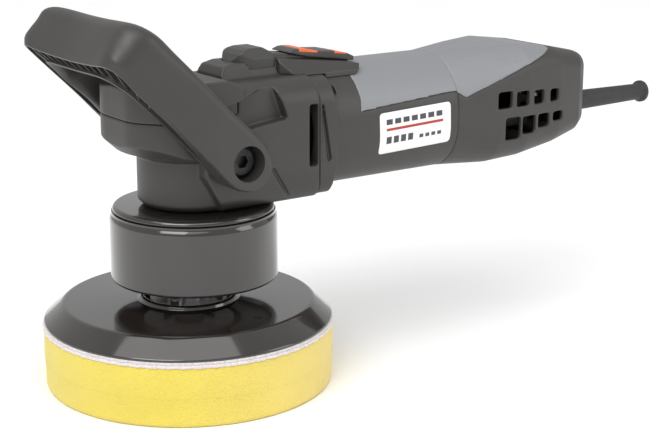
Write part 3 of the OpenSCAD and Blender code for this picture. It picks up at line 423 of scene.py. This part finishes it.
def pad_pieces():
    """Foam, loop layer, hook facing and backing plate, turned about the pad's own axis."""
    low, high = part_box("foam_pad")
    centre = ((low.x + high.x) / 2, 0)
    r = (high.x - low.x) / 2
    top = high.z
    rippled_from = 50 * MM
    foam_profile = rounded([
        (0, 0), (r - 0.4 * MM, 0), (r - 0.4 * MM, 9 * MM), (r + 0.25 * MM, 18 * MM),
        (r - 0.3 * MM, top), (0, top)],
        {1: 2.4 * MM, 2: 6 * MM, 3: 6 * MM, 4: 0.8 * MM}, 6)

    def cell_wobble(a, q, z):
        ripple = 0.12 * MM * math.sin(23 * a + 400 * z) * math.sin(37 * a)
        return q + ripple * (q > rippled_from), z

    mesh = lathe("polishing_foam", foam_profile, centre, 360, cell_wobble)
    pad = piece("polishing_foam", mesh, "foam", "pad")
    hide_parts("foam_pad")

    def layer(name, node, slot, edge, bulge):
        """A fabric disc whose edge stands out from the foam and bulges at mid height."""
        z0, z1 = heights(node)
        mid = (z0 + z1) / 2
        ring = [(0, z0), (r + edge - bulge, z0), (r + edge, mid), (r + edge - bulge, z1), (0, z1)]

        def fuzz(a, q, z):
            waves = (0.22, 61, 0), (0.18, 149, 1), (0.15, 283, 2)
            ripple = sum(size * math.sin(count * a + phase) for size, count, phase in waves)
            return q + ripple * MM * (q > rippled_from), z

        mesh = lathe(name, rounded(ring, {2: 0.5 * MM}, 4), centre, 720, fuzz)
        obj = piece(name, mesh, slot, "pad")
        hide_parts(node)

    layer("pad_loop_backing", "loop_layer", "loop_fabric", 0.5 * MM, 0.5 * MM)
    layer("plate_hook_facing", "hook_disc", "hook_fabric", 0.1 * MM, 0.4 * MM)

    z0, z1 = heights("backing_plate")
    rim_h, rim_r, rim_in = 2.6 * MM, 25.2 * MM, 23.0 * MM
    flat = z1 - rim_h
    well = flat - 2.5 * MM
    plate = rounded([
        (0, z0), (r - 0.3 * MM, z0), (r - 0.1 * MM, z0 + 1.1 * MM), (r - 10.2 * MM, flat),
        (rim_r + 0.9 * MM, flat), (rim_r, z1), (rim_in, z1), (rim_in, well), (0, well)],
        {1: 0.25 * MM, 2: 0.8 * MM, 3: 1.5 * MM, 4: 0.8 * MM, 5: 1.1 * MM, 6: 0.9 * MM}, 6)
    mesh = lathe("backing_plate_body", plate, centre, 192)
    obj = piece("backing_plate_body", mesh, "gloss_black", "pad", 60)
    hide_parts("backing_plate")


def drum_pieces():
    """Wall and top disc of the drum, turned about the drive spindle."""
    low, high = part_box("drum_shell")
    r = (high.x - low.x) / 2
    inner = r - 2.4 * MM
    z0, z1 = low.z, high.z
    wall = rounded([
        (inner, z1), (inner, z0 + 0.6 * MM), (r - 1.9 * MM, z0), (r - 0.9 * MM, z0),
        (r, z0 + 1.0 * MM), (r - 0.1 * MM, z1 - 3.0 * MM), (r - 1.1 * MM, z1 - 1.2 * MM),
        (r - 1.1 * MM, z1), (inner, z1)],
        {2: 0.4 * MM, 3: 0.5 * MM, 4: 0.6 * MM, 5: 1.2 * MM, 6: 0.5 * MM}, 6)
    obj = piece("drum_wall", lathe("drum_wall", wall, (0, 0), 192), "gloss_black", "spindle", 60)
    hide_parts("drum_shell")

    top = heights("drum_cap")[1]
    bore, cap_r = 6.1 * MM, r - 1.6 * MM
    cap = rounded([
        (bore, z1), (cap_r - 0.9 * MM, z1), (cap_r, z1 + 0.8 * MM), (cap_r, top - 1.3 * MM),
        (cap_r - 1.4 * MM, top), (bore, top), (bore, z1)],
        {1: 0.3 * MM, 2: 0.5 * MM, 3: 0.9 * MM, 4: 0.9 * MM}, 6)
    obj = piece("drum_top_disc", lathe("drum_top_disc", cap, (0, 0), 192), "gloss_black", "spindle", 60)
    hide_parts("drum_cap")


# ---------- handle ----------

# The handle is worked out in mm from the middle between its screws: u runs along the arms to the
# grip, y across the object, and v outwards, away from the open front.
BOLT = Vector((2.5 * MM, 0, 122.0 * MM))
ARM = Vector((-0.69, 0, 0.7238)).normalized()
OUT = Vector((0.7238, 0, 0.69)).normalized()
SIDE = Vector((0, 1, 0))

ARM_OUTER_Y, ARM_INNER_Y = 50, 33.5          # faces of an arm
SPLIT_U = 46                                 # the faces of an arm part from here on
CORNER_OUTER_U, CORNER_INNER_U = 81, 60      # the corners begin here
CORNER_OUTER_R, CORNER_INNER_R = 13, 10
GRIP_OUTER_U = CORNER_OUTER_U + CORNER_OUTER_R
GRIP_INNER_U = CORNER_INNER_U + CORNER_INNER_R
GRIP_OUTER_Y = ARM_OUTER_Y - CORNER_OUTER_R
GRIP_INNER_Y = ARM_INNER_Y - CORNER_INNER_R
GRIP_DIP = 1.4                               # hollow along the grip
ARM_HALF, GRIP_HALF = 8.25, 12.4             # half thickness that the outlines below are drawn for
BOSS_R = 14.4                                # length of the round end past the screw
POCKET_R = 9
RIM = 1.3                                    # width of the rims beside the open front
HOLLOW, CLOSED = 9.5, 0.1                    # depth of the front where it is open and closed

# Shares of the way from the grip's middle (0) to a screw (1)
CORNER_T, ARM_T = 0.24, 0.42
SHOULDER_T, SHOULDER_SPAN = 0.34, 0.09
OPEN_T = 0.93                                # the front is closed from here to the boss
ARM_EVEN = 0.6                               # share of an arm with parallel faces
ARM_GRIP = 0.45                              # how far an arm takes the grip's section at the corner


def smoothstep(t):
    """Rises smoothly from 0 to 1."""
    t = min(1.0, max(0.0, t))
    return t * t * (3 - 2 * t)


def mix(a, b, t):
    """The value at share t of the way from a to b."""
    return a + (b - a) * t


# Outline of the handle's section, from the outer lip of the open front round the back to the inner
# lip: (offset towards the inside of the D, offset outwards). One for the arms, one for the grip.
ARM_KEYS = [
    (-5.5, -14.0), (-7.5, -13.3), (-8.2, -10.8), (-8.25, -3.0), (-8.25, 5.5), (-7.8, 9.9),
    (-5.2, 12.3), (0.0, 12.6), (5.2, 12.3), (7.8, 9.9), (8.25, 4.5), (8.25, -5.0), (7.9, -12.4),
    (5.5, -14.0)]
GRIP_KEYS = [
    (-5.9, -16.4), (-8.6, -12.0), (-10.4, -7.2), (-11.9, -1.8), (-12.4, 3.0), (-10.0, 7.4),
    (-4.9, 10.8), (1.6, 12.3), (7.8, 10.3), (11.7, 5.2), (12.3, -2.0), (11.0, -7.2), (7.8, -12.4),
    (2.6, -17.2)]
# How much the shoulders widen the first and the last points of the outline
SHOULDER_OUTER = {0: 3.6, 1: 3.0, 2: 1.6}
SHOULDER_INNER = {12: 2.2, 13: 2.2}


def handle_frame(t):
    """Ring of the handle, from the near boss (-1) over the grip (0) to the far boss (1):
    its outer and inner points as (u, y), and how much of the grip's form it has."""
    a, side = abs(t), math.copysign(1, t)
    if a > ARM_T:
        s = (1 - a) / (1 - ARM_T)
        if s < ARM_EVEN:
            outer = inner = SPLIT_U * s / ARM_EVEN
        else:
            f = (s - ARM_EVEN) / (1 - ARM_EVEN)
            outer, inner = mix(SPLIT_U, CORNER_OUTER_U, f), mix(SPLIT_U, CORNER_INNER_U, f)
        grip = ARM_GRIP * smoothstep((s - 0.55) / 0.45)
        return (outer, ARM_OUTER_Y * side), (inner, ARM_INNER_Y * side), grip
    if a > CORNER_T:
        f = (ARM_T - a) / (ARM_T - CORNER_T)
        along, across = math.sin(f * math.pi / 2), math.cos(f * math.pi / 2)
        outer = CORNER_OUTER_U + CORNER_OUTER_R * along, (GRIP_OUTER_Y + CORNER_OUTER_R * across) * side
        inner = CORNER_INNER_U + CORNER_INNER_R * along, (GRIP_INNER_Y + CORNER_INNER_R * across) * side
        return outer, inner, mix(ARM_GRIP, 1, smoothstep(f))
    f = a / CORNER_T
    dip = GRIP_DIP * (1 - f * f) ** 2
    outer = GRIP_OUTER_U - dip, GRIP_OUTER_Y * t / CORNER_T
    inner = GRIP_INNER_U, GRIP_INNER_Y * t / CORNER_T
    return outer, inner, 1


def handle_ring(t):
    """Middle and direction of one ring, its outline, and the two lips and the depth of its hollow."""
    (ou, oy), (iu, iy), grip = handle_frame(t)
    centre = Vector(((ou + iu) / 2, (oy + iy) / 2))
    across = Vector((iu - ou, iy - oy))
    half = across.length / 2
    across.normalize()
    a = abs(t)
    shoulder = math.exp(-((a - SHOULDER_T) / SHOULDER_SPAN) ** 2)
    reach = mix(half / ARM_HALF, half / GRIP_HALF, grip)
    fuller_back = mix(1.135, 1, smoothstep((1 - a) * 4.2)) if a > 0.6 else 1
    keys = []
    for i, (p, q) in enumerate(zip(ARM_KEYS, GRIP_KEYS)):
        w, v = mix(p[0], q[0], grip) * reach, mix(p[1], q[1], grip)
        w += (SHOULDER_INNER.get(i, 0) - SHOULDER_OUTER.get(i, 0)) * shoulder
        keys.append((w, v * (fuller_back if v > 0 else 1)))
    opened = smoothstep((OPEN_T - a) / 0.30)
    rim = mix(0.0, RIM, min(1.0, opened * 3))
    middle = (keys[0][0] + keys[-1][0]) / 2
    outer_lip = mix(middle - 0.3, keys[0][0] + rim, opened)
    inner_lip = mix(middle + 0.3, keys[-1][0] - rim, opened)
    return centre, across, keys, outer_lip, inner_lip, mix(CLOSED, HOLLOW, min(1, opened * 1.6))


def spline(keys, steps=4):
    """A smooth open curve through all the points, by Catmull and Rom's formula."""

    def value(a, b, c, d, t):
        square, cube = 2 * a - 5 * b + 4 * c - d, 3 * b - a - 3 * c + d
        return 0.5 * (2 * b + (c - a) * t + square * t * t + cube * t ** 3)

    out = []
    n = len(keys)
    for i in range(n - 1):
        near = keys[max(i - 1, 0)], keys[i], keys[i + 1], keys[min(i + 2, n - 1)]
        for k in range(steps):
            out.append(tuple(value(*axis, k / steps) for axis in zip(*near)))
    out.append(keys[-1])
    return out


def handle_point(centre, across, w, v):
    """A ring's own offsets, in mm, as a place in the frame."""
    spot = centre + across * w
    return BOLT + (ARM * spot.x + SIDE * spot.y + OUT * v) * MM


def ring_points(centre, across, keys, outer_lip, inner_lip, depth, flatten):
    """Closed outline of one ring: the skin, then the hollow between the two lips."""
    low_out, low_in = keys[0][1], keys[-1][1]
    taper = 0.86
    notch = [
        (inner_lip, low_in + 0.05), (inner_lip, low_in + min(0.6, depth)),
        (mix(outer_lip, inner_lip, taper), low_in + depth),
        (mix(inner_lip, outer_lip, taper), low_out + depth),
        (outer_lip, low_out + min(0.6, depth)), (outer_lip, low_out + 0.05)]
    return [handle_point(centre, across, w, v * flatten) for w, v in spline(keys) + notch]


def boss_rings(side):
    """Rings of the round end past a screw, from the screw outwards."""
    centre, across, keys, outer_lip, inner_lip, _ = handle_ring(side)
    rings = []
    for k in range(9):
        a = math.pi / 2 * (k + 0.25) / 8.6
        place = centre + Vector((-BOSS_R * math.sin(a), 0))
        rings.append(ring_points(place, across, keys, outer_lip, inner_lip, CLOSED, math.cos(a)))
    return rings


def front_handle():
    """One skin through rings from the near boss over the grip to the far boss."""
    stations = 170
    rings = boss_rings(-1)[::-1]
    rings += [ring_points(*handle_ring(-1 + 2 * i / stations), 1.0) for i in range(stations + 1)]
    rings += boss_rings(1)
    n = len(rings[0])
    verts = [v for ring in rings for v in ring]
    faces = []
    for i in range(len(rings) - 1):
        for k in range(n):
            m = (k + 1) % n
            faces.append((i * n + k, i * n + m, (i + 1) * n + m, (i + 1) * n + k))
    faces.append(tuple(range(n - 1, -1, -1)))
    faces.append(tuple((len(rings) - 1) * n + k for k in range(n)))
    mesh = from_lists("front_handle_shell", verts, faces)
    obj = piece("front_handle_shell", mesh, "housing_plastic", "housing", 50)
    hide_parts("front_handle")
    return obj


def bolt_pockets(handle):
    """Drills the screw pockets into the outer faces of the bosses."""
    depth = 20 * MM
    middle_y = 47.5 * MM
    r = POCKET_R * MM
    for side in (-1, 1):
        bm = bmesh.new()
        bmesh.ops.create_cone(bm, cap_ends=True, segments=72, radius1=r, radius2=r, depth=depth)
        place = Matrix.Translation(BOLT + SIDE * side * middle_y) @ Matrix.Rotation(math.pi / 2, 4, "X")
        bmesh.ops.transform(bm, matrix=place, verts=bm.verts)
        mesh = bpy.data.meshes.new("pocket_cutter")
        bm.to_mesh(mesh)
        bm.free()
        cutter = linked("pocket_cutter", mesh)
        cut = handle.modifiers.new("cut", "BOOLEAN")
        cut.operation = "DIFFERENCE"
        cut.solver = "EXACT"
        cut.object = cutter
        mesh = applied(handle, handle.name)
        handle.modifiers.clear()
        old = handle.data
        handle.data = mesh
        bpy.data.meshes.remove(old)
        bpy.data.objects.remove(cutter)
    handle.data.name = handle.name
    handle.data.polygons.foreach_set("use_smooth", [True] * len(handle.data.polygons))
    handle.data.set_sharp_from_angle(angle=math.radians(42))


def handle_ribs():
    """Slanted stiffening ribs inside the open front of the cross bar and the arms."""
    thickness = 1.0
    bar, bar_ribs = 0.36, 12
    in_arms = (0.46, 0.54)
    places = [-t for t in reversed(in_arms)]
    places += [-bar + 2 * bar * i / bar_ribs for i in range(bar_ribs + 1)] + list(in_arms)
    box_faces = (0, 1, 3, 2), (4, 6, 7, 5), (0, 4, 5, 1), (2, 3, 7, 6), (0, 2, 6, 4), (1, 5, 7, 3)
    verts, faces = [], []
    for t in places:
        lean = 0.024 if abs(t) < 0.4 else 0.012
        ends = []
        for at, inner in ((t - lean, True), (t + lean, False)):
            centre, across, keys, outer_lip, inner_lip, depth = handle_ring(at)
            front = keys[-1][1] if inner else keys[0][1]
            w = inner_lip + 0.5 if inner else outer_lip - 0.5
            ends.append((centre, across, w, (front + 1.0, front + depth + 0.6)))
        middle = (ends[0][2] + ends[1][2]) / 2
        faces += [tuple(len(verts) + k for k in face) for face in box_faces]
        for centre, across, w, rise in ends:
            tangent = Vector((-across.y, across.x)) * thickness / 2
            for off in (-1, 1):
                for v, narrow in zip(rise, (1, 0.8)):
                    spot = middle + (w - middle) * narrow
                    verts.append(handle_point(centre + tangent * off, across, spot, v))
    piece("handle_ribs", from_lists("handle_ribs", verts, faces), "housing_plastic", "housing", 20)


# ---------- shells ----------

def soft_shells():
    """Moulded copies of the outer CAD nodes, with their edges softened."""
    # name, CAD node, slot, body, voxel in mm, smoothing passes, share of faces kept
    jobs = [
        ("gear_head", "gear_case", "housing_plastic", "housing", 0.6, 5, 0.25),
        ("gear_head_cap", "gear_cover", "housing_plastic", "housing", 0.6, 5, 0.35),
        ("motor_barrel", "motor_housing", "housing_plastic", "housing", 0.5, 3, 0.2),
        ("barrel_trim", "front_trim", "grey_trim", "housing", 0.6, 2, 0.5),
        ("tail_near", "rear_shell_near", "housing_plastic", "housing", 0.7, 4, 0.3),
        ("tail_far", "rear_shell_far", "housing_plastic", "housing", 0.7, 4, 0.3),
        ("tail_trim", "rear_trim", "grey_trim", "housing", 0.6, 2, 0.5),
        ("bezel", "switch_bezel", "housing_plastic", "housing", 0.45, 4, 0.4),
        ("power_slider", "switch_slider", "button_plastic", "switch", 0.3, 4, 0.5),
        ("slider_finger_pads", "switch_pads", "accent_orange", "switch", 0.22, 3, 0.5),
        ("spindle_lock_button", "lock_button", "button_plastic", "lock", 0.35, 5, 0.4),
    ]
    for name, node, slot, body, voxel, passes, keep in jobs:
        obj = piece(name, softened(name, node, voxel * MM, passes, keep), slot, body, 180)
        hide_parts(node)


def cord_sleeve():
    """The cord's bend sleeve: a collar in the shells, a taper and a lip, with an open bore."""
    low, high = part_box("strain_relief")
    axis_z = (low.z + high.z) / 2
    x0, x1 = low.x, high.x
    bore, collar_r, lip_r = 3.7 * MM, 8.4 * MM, 6.7 * MM
    start, tip = x0 + 3 * MM, x1 - 0.2 * MM
    outline = rounded([
        (start, bore), (start, collar_r), (x0 + 5.4 * MM, collar_r), (x0 + 5.4 * MM, 6.6 * MM),
        (x0 + 14 * MM, 6.2 * MM), (x1 - 5 * MM, 5.0 * MM), (x1 - 3.2 * MM, 5.3 * MM),
        (x1 - 2.6 * MM, lip_r), (tip, lip_r), (tip, 4.2 * MM), (x1 - 1.5 * MM, bore), (start, bore)],
        {4: 2 * MM, 5: 1.5 * MM, 6: 0.8 * MM, 7: 0.5 * MM, 8: 0.6 * MM, 9: 0.4 * MM}, 5)
    mesh = lathe("cord_sleeve", [(r, x) for x, r in outline], (0, 0), 72)
    mesh.transform(Matrix.Translation((0, 0, axis_z)) @ Matrix.Rotation(math.pi / 2, 4, "Y"))
    obj = piece("cord_sleeve", mesh, "sleeve_rubber", "housing", 40)
    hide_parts("strain_relief")


def label_print():
    """Generic bars on the curved label in place of any lettering."""
    low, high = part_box("rating_label")
    middle = Vector(((low.x + high.x) / 2, (low.z + high.z) / 2))
    width, height, tilt = 48.5 * MM, 22.5 * MM, math.radians(2)
    # the barrel's side: a flat band, and a round above and below it
    axis_z, round_r, flat = 126.5 * MM, 28.0 * MM, 4.0 * MM
    above, below = 0.03 * MM, -0.1 * MM

    def surface(z, lift):
        """The y of the label's face at a height."""
        off = max(0.0, abs(z - axis_z) - flat)
        return -flat - math.sqrt((round_r + lift) ** 2 - off * off)

    def bars(name, rows, material):
        """Thin curved bars; each row is (left, bottom, width, height) in shares of the label."""
        verts, faces = [], []
        for x, z, w, h in rows:
            strips = max(2, math.ceil(h * 12))
            b = len(verts)
            for k in range(strips + 1):
                for dx in (0, w):
                    px, pz = (x + dx - 0.5) * width, (z + h * k / strips - 0.5) * height
                    wx = middle.x + px * math.cos(tilt) - pz * math.sin(tilt)
                    wz = middle.y + px * math.sin(tilt) + pz * math.cos(tilt)
                    for lift in (above, below):
                        verts.append((wx, surface(wz, lift), wz))
            for k in range(strips):
                c = b + 4 * k
                faces += [(c, c + 2, c + 6, c + 4), (c + 1, c + 5, c + 7, c + 3),
                          (c, c + 4, c + 5, c + 1), (c + 2, c + 3, c + 7, c + 6)]
            e = b + 4 * strips
            faces += [(b, b + 1, b + 3, b + 2), (e, e + 2, e + 3, e + 1)]
        piece(name, from_lists(name, verts, faces), "label_film", "housing", 20, material)

    dark = printed_film("label_ink_dark", (0.05, 0.05, 0.055), 0.4)
    red = printed_film("label_ink_red", (0.42, 0.03, 0.02), 0.4)
    margin = 0.09
    heavy = [(margin + 0.117 * i, 0.70, 0.085, 0.13) for i in range(7)]
    small = [(margin + 0.10 * i, 0.24, 0.07, 0.17) for i in range(4)]
    fine = [(0.55 + 0.085 * i, 0.25, 0.055, 0.09) for i in range(4)]
    bars("label_bars", heavy + small + fine, dark)
    bars("label_stripe", [(margin, 0.55, 0.80, 0.065)], red)


# ---------- stage ----------

FLOOR_HALF = 3.0
WORLD_STRENGTH = 0.62

# Camera place, direction and lens, fitted to the outlines of the pad and the drum
CAMERA_PLACE = (-0.38846, -0.66057, 0.2870)
HEADING, PITCH, ROLL = math.radians(54.494), math.radians(14.777), 0.0027
LENS, SENSOR_WIDTH = 84.9, 36


def look(direction):
    """Rotation of a light that shines along a direction."""
    return direction.to_track_quat("-Z", "Y").to_euler()


def pale_floor():
    f = FLOOR_HALF
    mesh = from_lists("floor", [(-f, -f, 0), (f, -f, 0), (f, f, 0), (-f, f, 0)], [(0, 1, 2, 3)])
    floor = linked("floor", mesh)
    s = Shader("floor_paper", (0.93, 0.93, 0.93), 0.85)
    s.mottle(6, (0.92, 0.92, 0.92), (0.94, 0.94, 0.94))
    mesh.materials.append(s.mat)


def white_world():
    world = bpy.data.worlds.new("studio")
    bpy.context.scene.world = world
    world.use_nodes = True
    background = world.node_tree.nodes["Background"]
    background.inputs["Color"].default_value = (1, 1, 1, 1)
    background.inputs["Strength"].default_value = WORLD_STRENGTH


def softbox(name, at, target, size, power):
    data = bpy.data.lights.new(name, "AREA")
    data.shape = "RECTANGLE"
    data.size, data.size_y = size
    data.energy = power
    light = linked(name, data)
    light.location = at
    light.rotation_euler = look(Vector(target) - Vector(at))


def overhead():
    """A wide, even light from above, which keeps the floor white far behind the object."""
    data = bpy.data.lights.new("overhead", "SUN")
    data.energy = 1.5
    data.angle = math.radians(70)
    light = linked("overhead", data)
    light.rotation_euler = look(Vector((0.35, 0.30, -1)))


def camera():
    forward = Vector((
        math.cos(HEADING) * math.cos(PITCH), math.sin(HEADING) * math.cos(PITCH), -math.sin(PITCH)))
    level = forward.cross(Vector((0, 0, 1))).normalized()
    rise = level.cross(forward)
    right = level * math.cos(ROLL) + rise * math.sin(ROLL)
    up = right.cross(forward)
    data = bpy.data.cameras.new("camera")
    data.lens = LENS
    data.sensor_width = SENSOR_WIDTH
    data.clip_start = 0.01
    cam = linked("camera", data)
    cam.matrix_world = (
        Matrix.Translation(CAMERA_PLACE) @ Matrix((right, up, -forward)).transposed().to_4x4())
    bpy.context.scene.camera = cam


# ---------- build ----------

def paint_cad_nodes():
    """Gives each CAD node the material of its slot in the record."""
    slots = {part["node"]: part["material_slot"] for part in frame["record"]["subparts"]}
    for name, obj in nodes.items():
        obj.data.materials.clear()
        obj.data.materials.append(MATERIALS[slots[name]])


camera()
pale_floor()
white_world()
softbox("key_left", (-0.9, -0.5, 1.0), (0, 0, 0.1), (0.8, 0.8), 7)
softbox("right", (0.9, -0.9, 0.6), (0.1, 0, 0.12), (0.5, 0.8), 3)
overhead()
paint_cad_nodes()
pad_pieces()
drum_pieces()
bolt_pockets(front_handle())
handle_ribs()
soft_shells()
cord_sleeve()
label_print()
bpy.context.scene.view_settings.view_transform = "Standard"
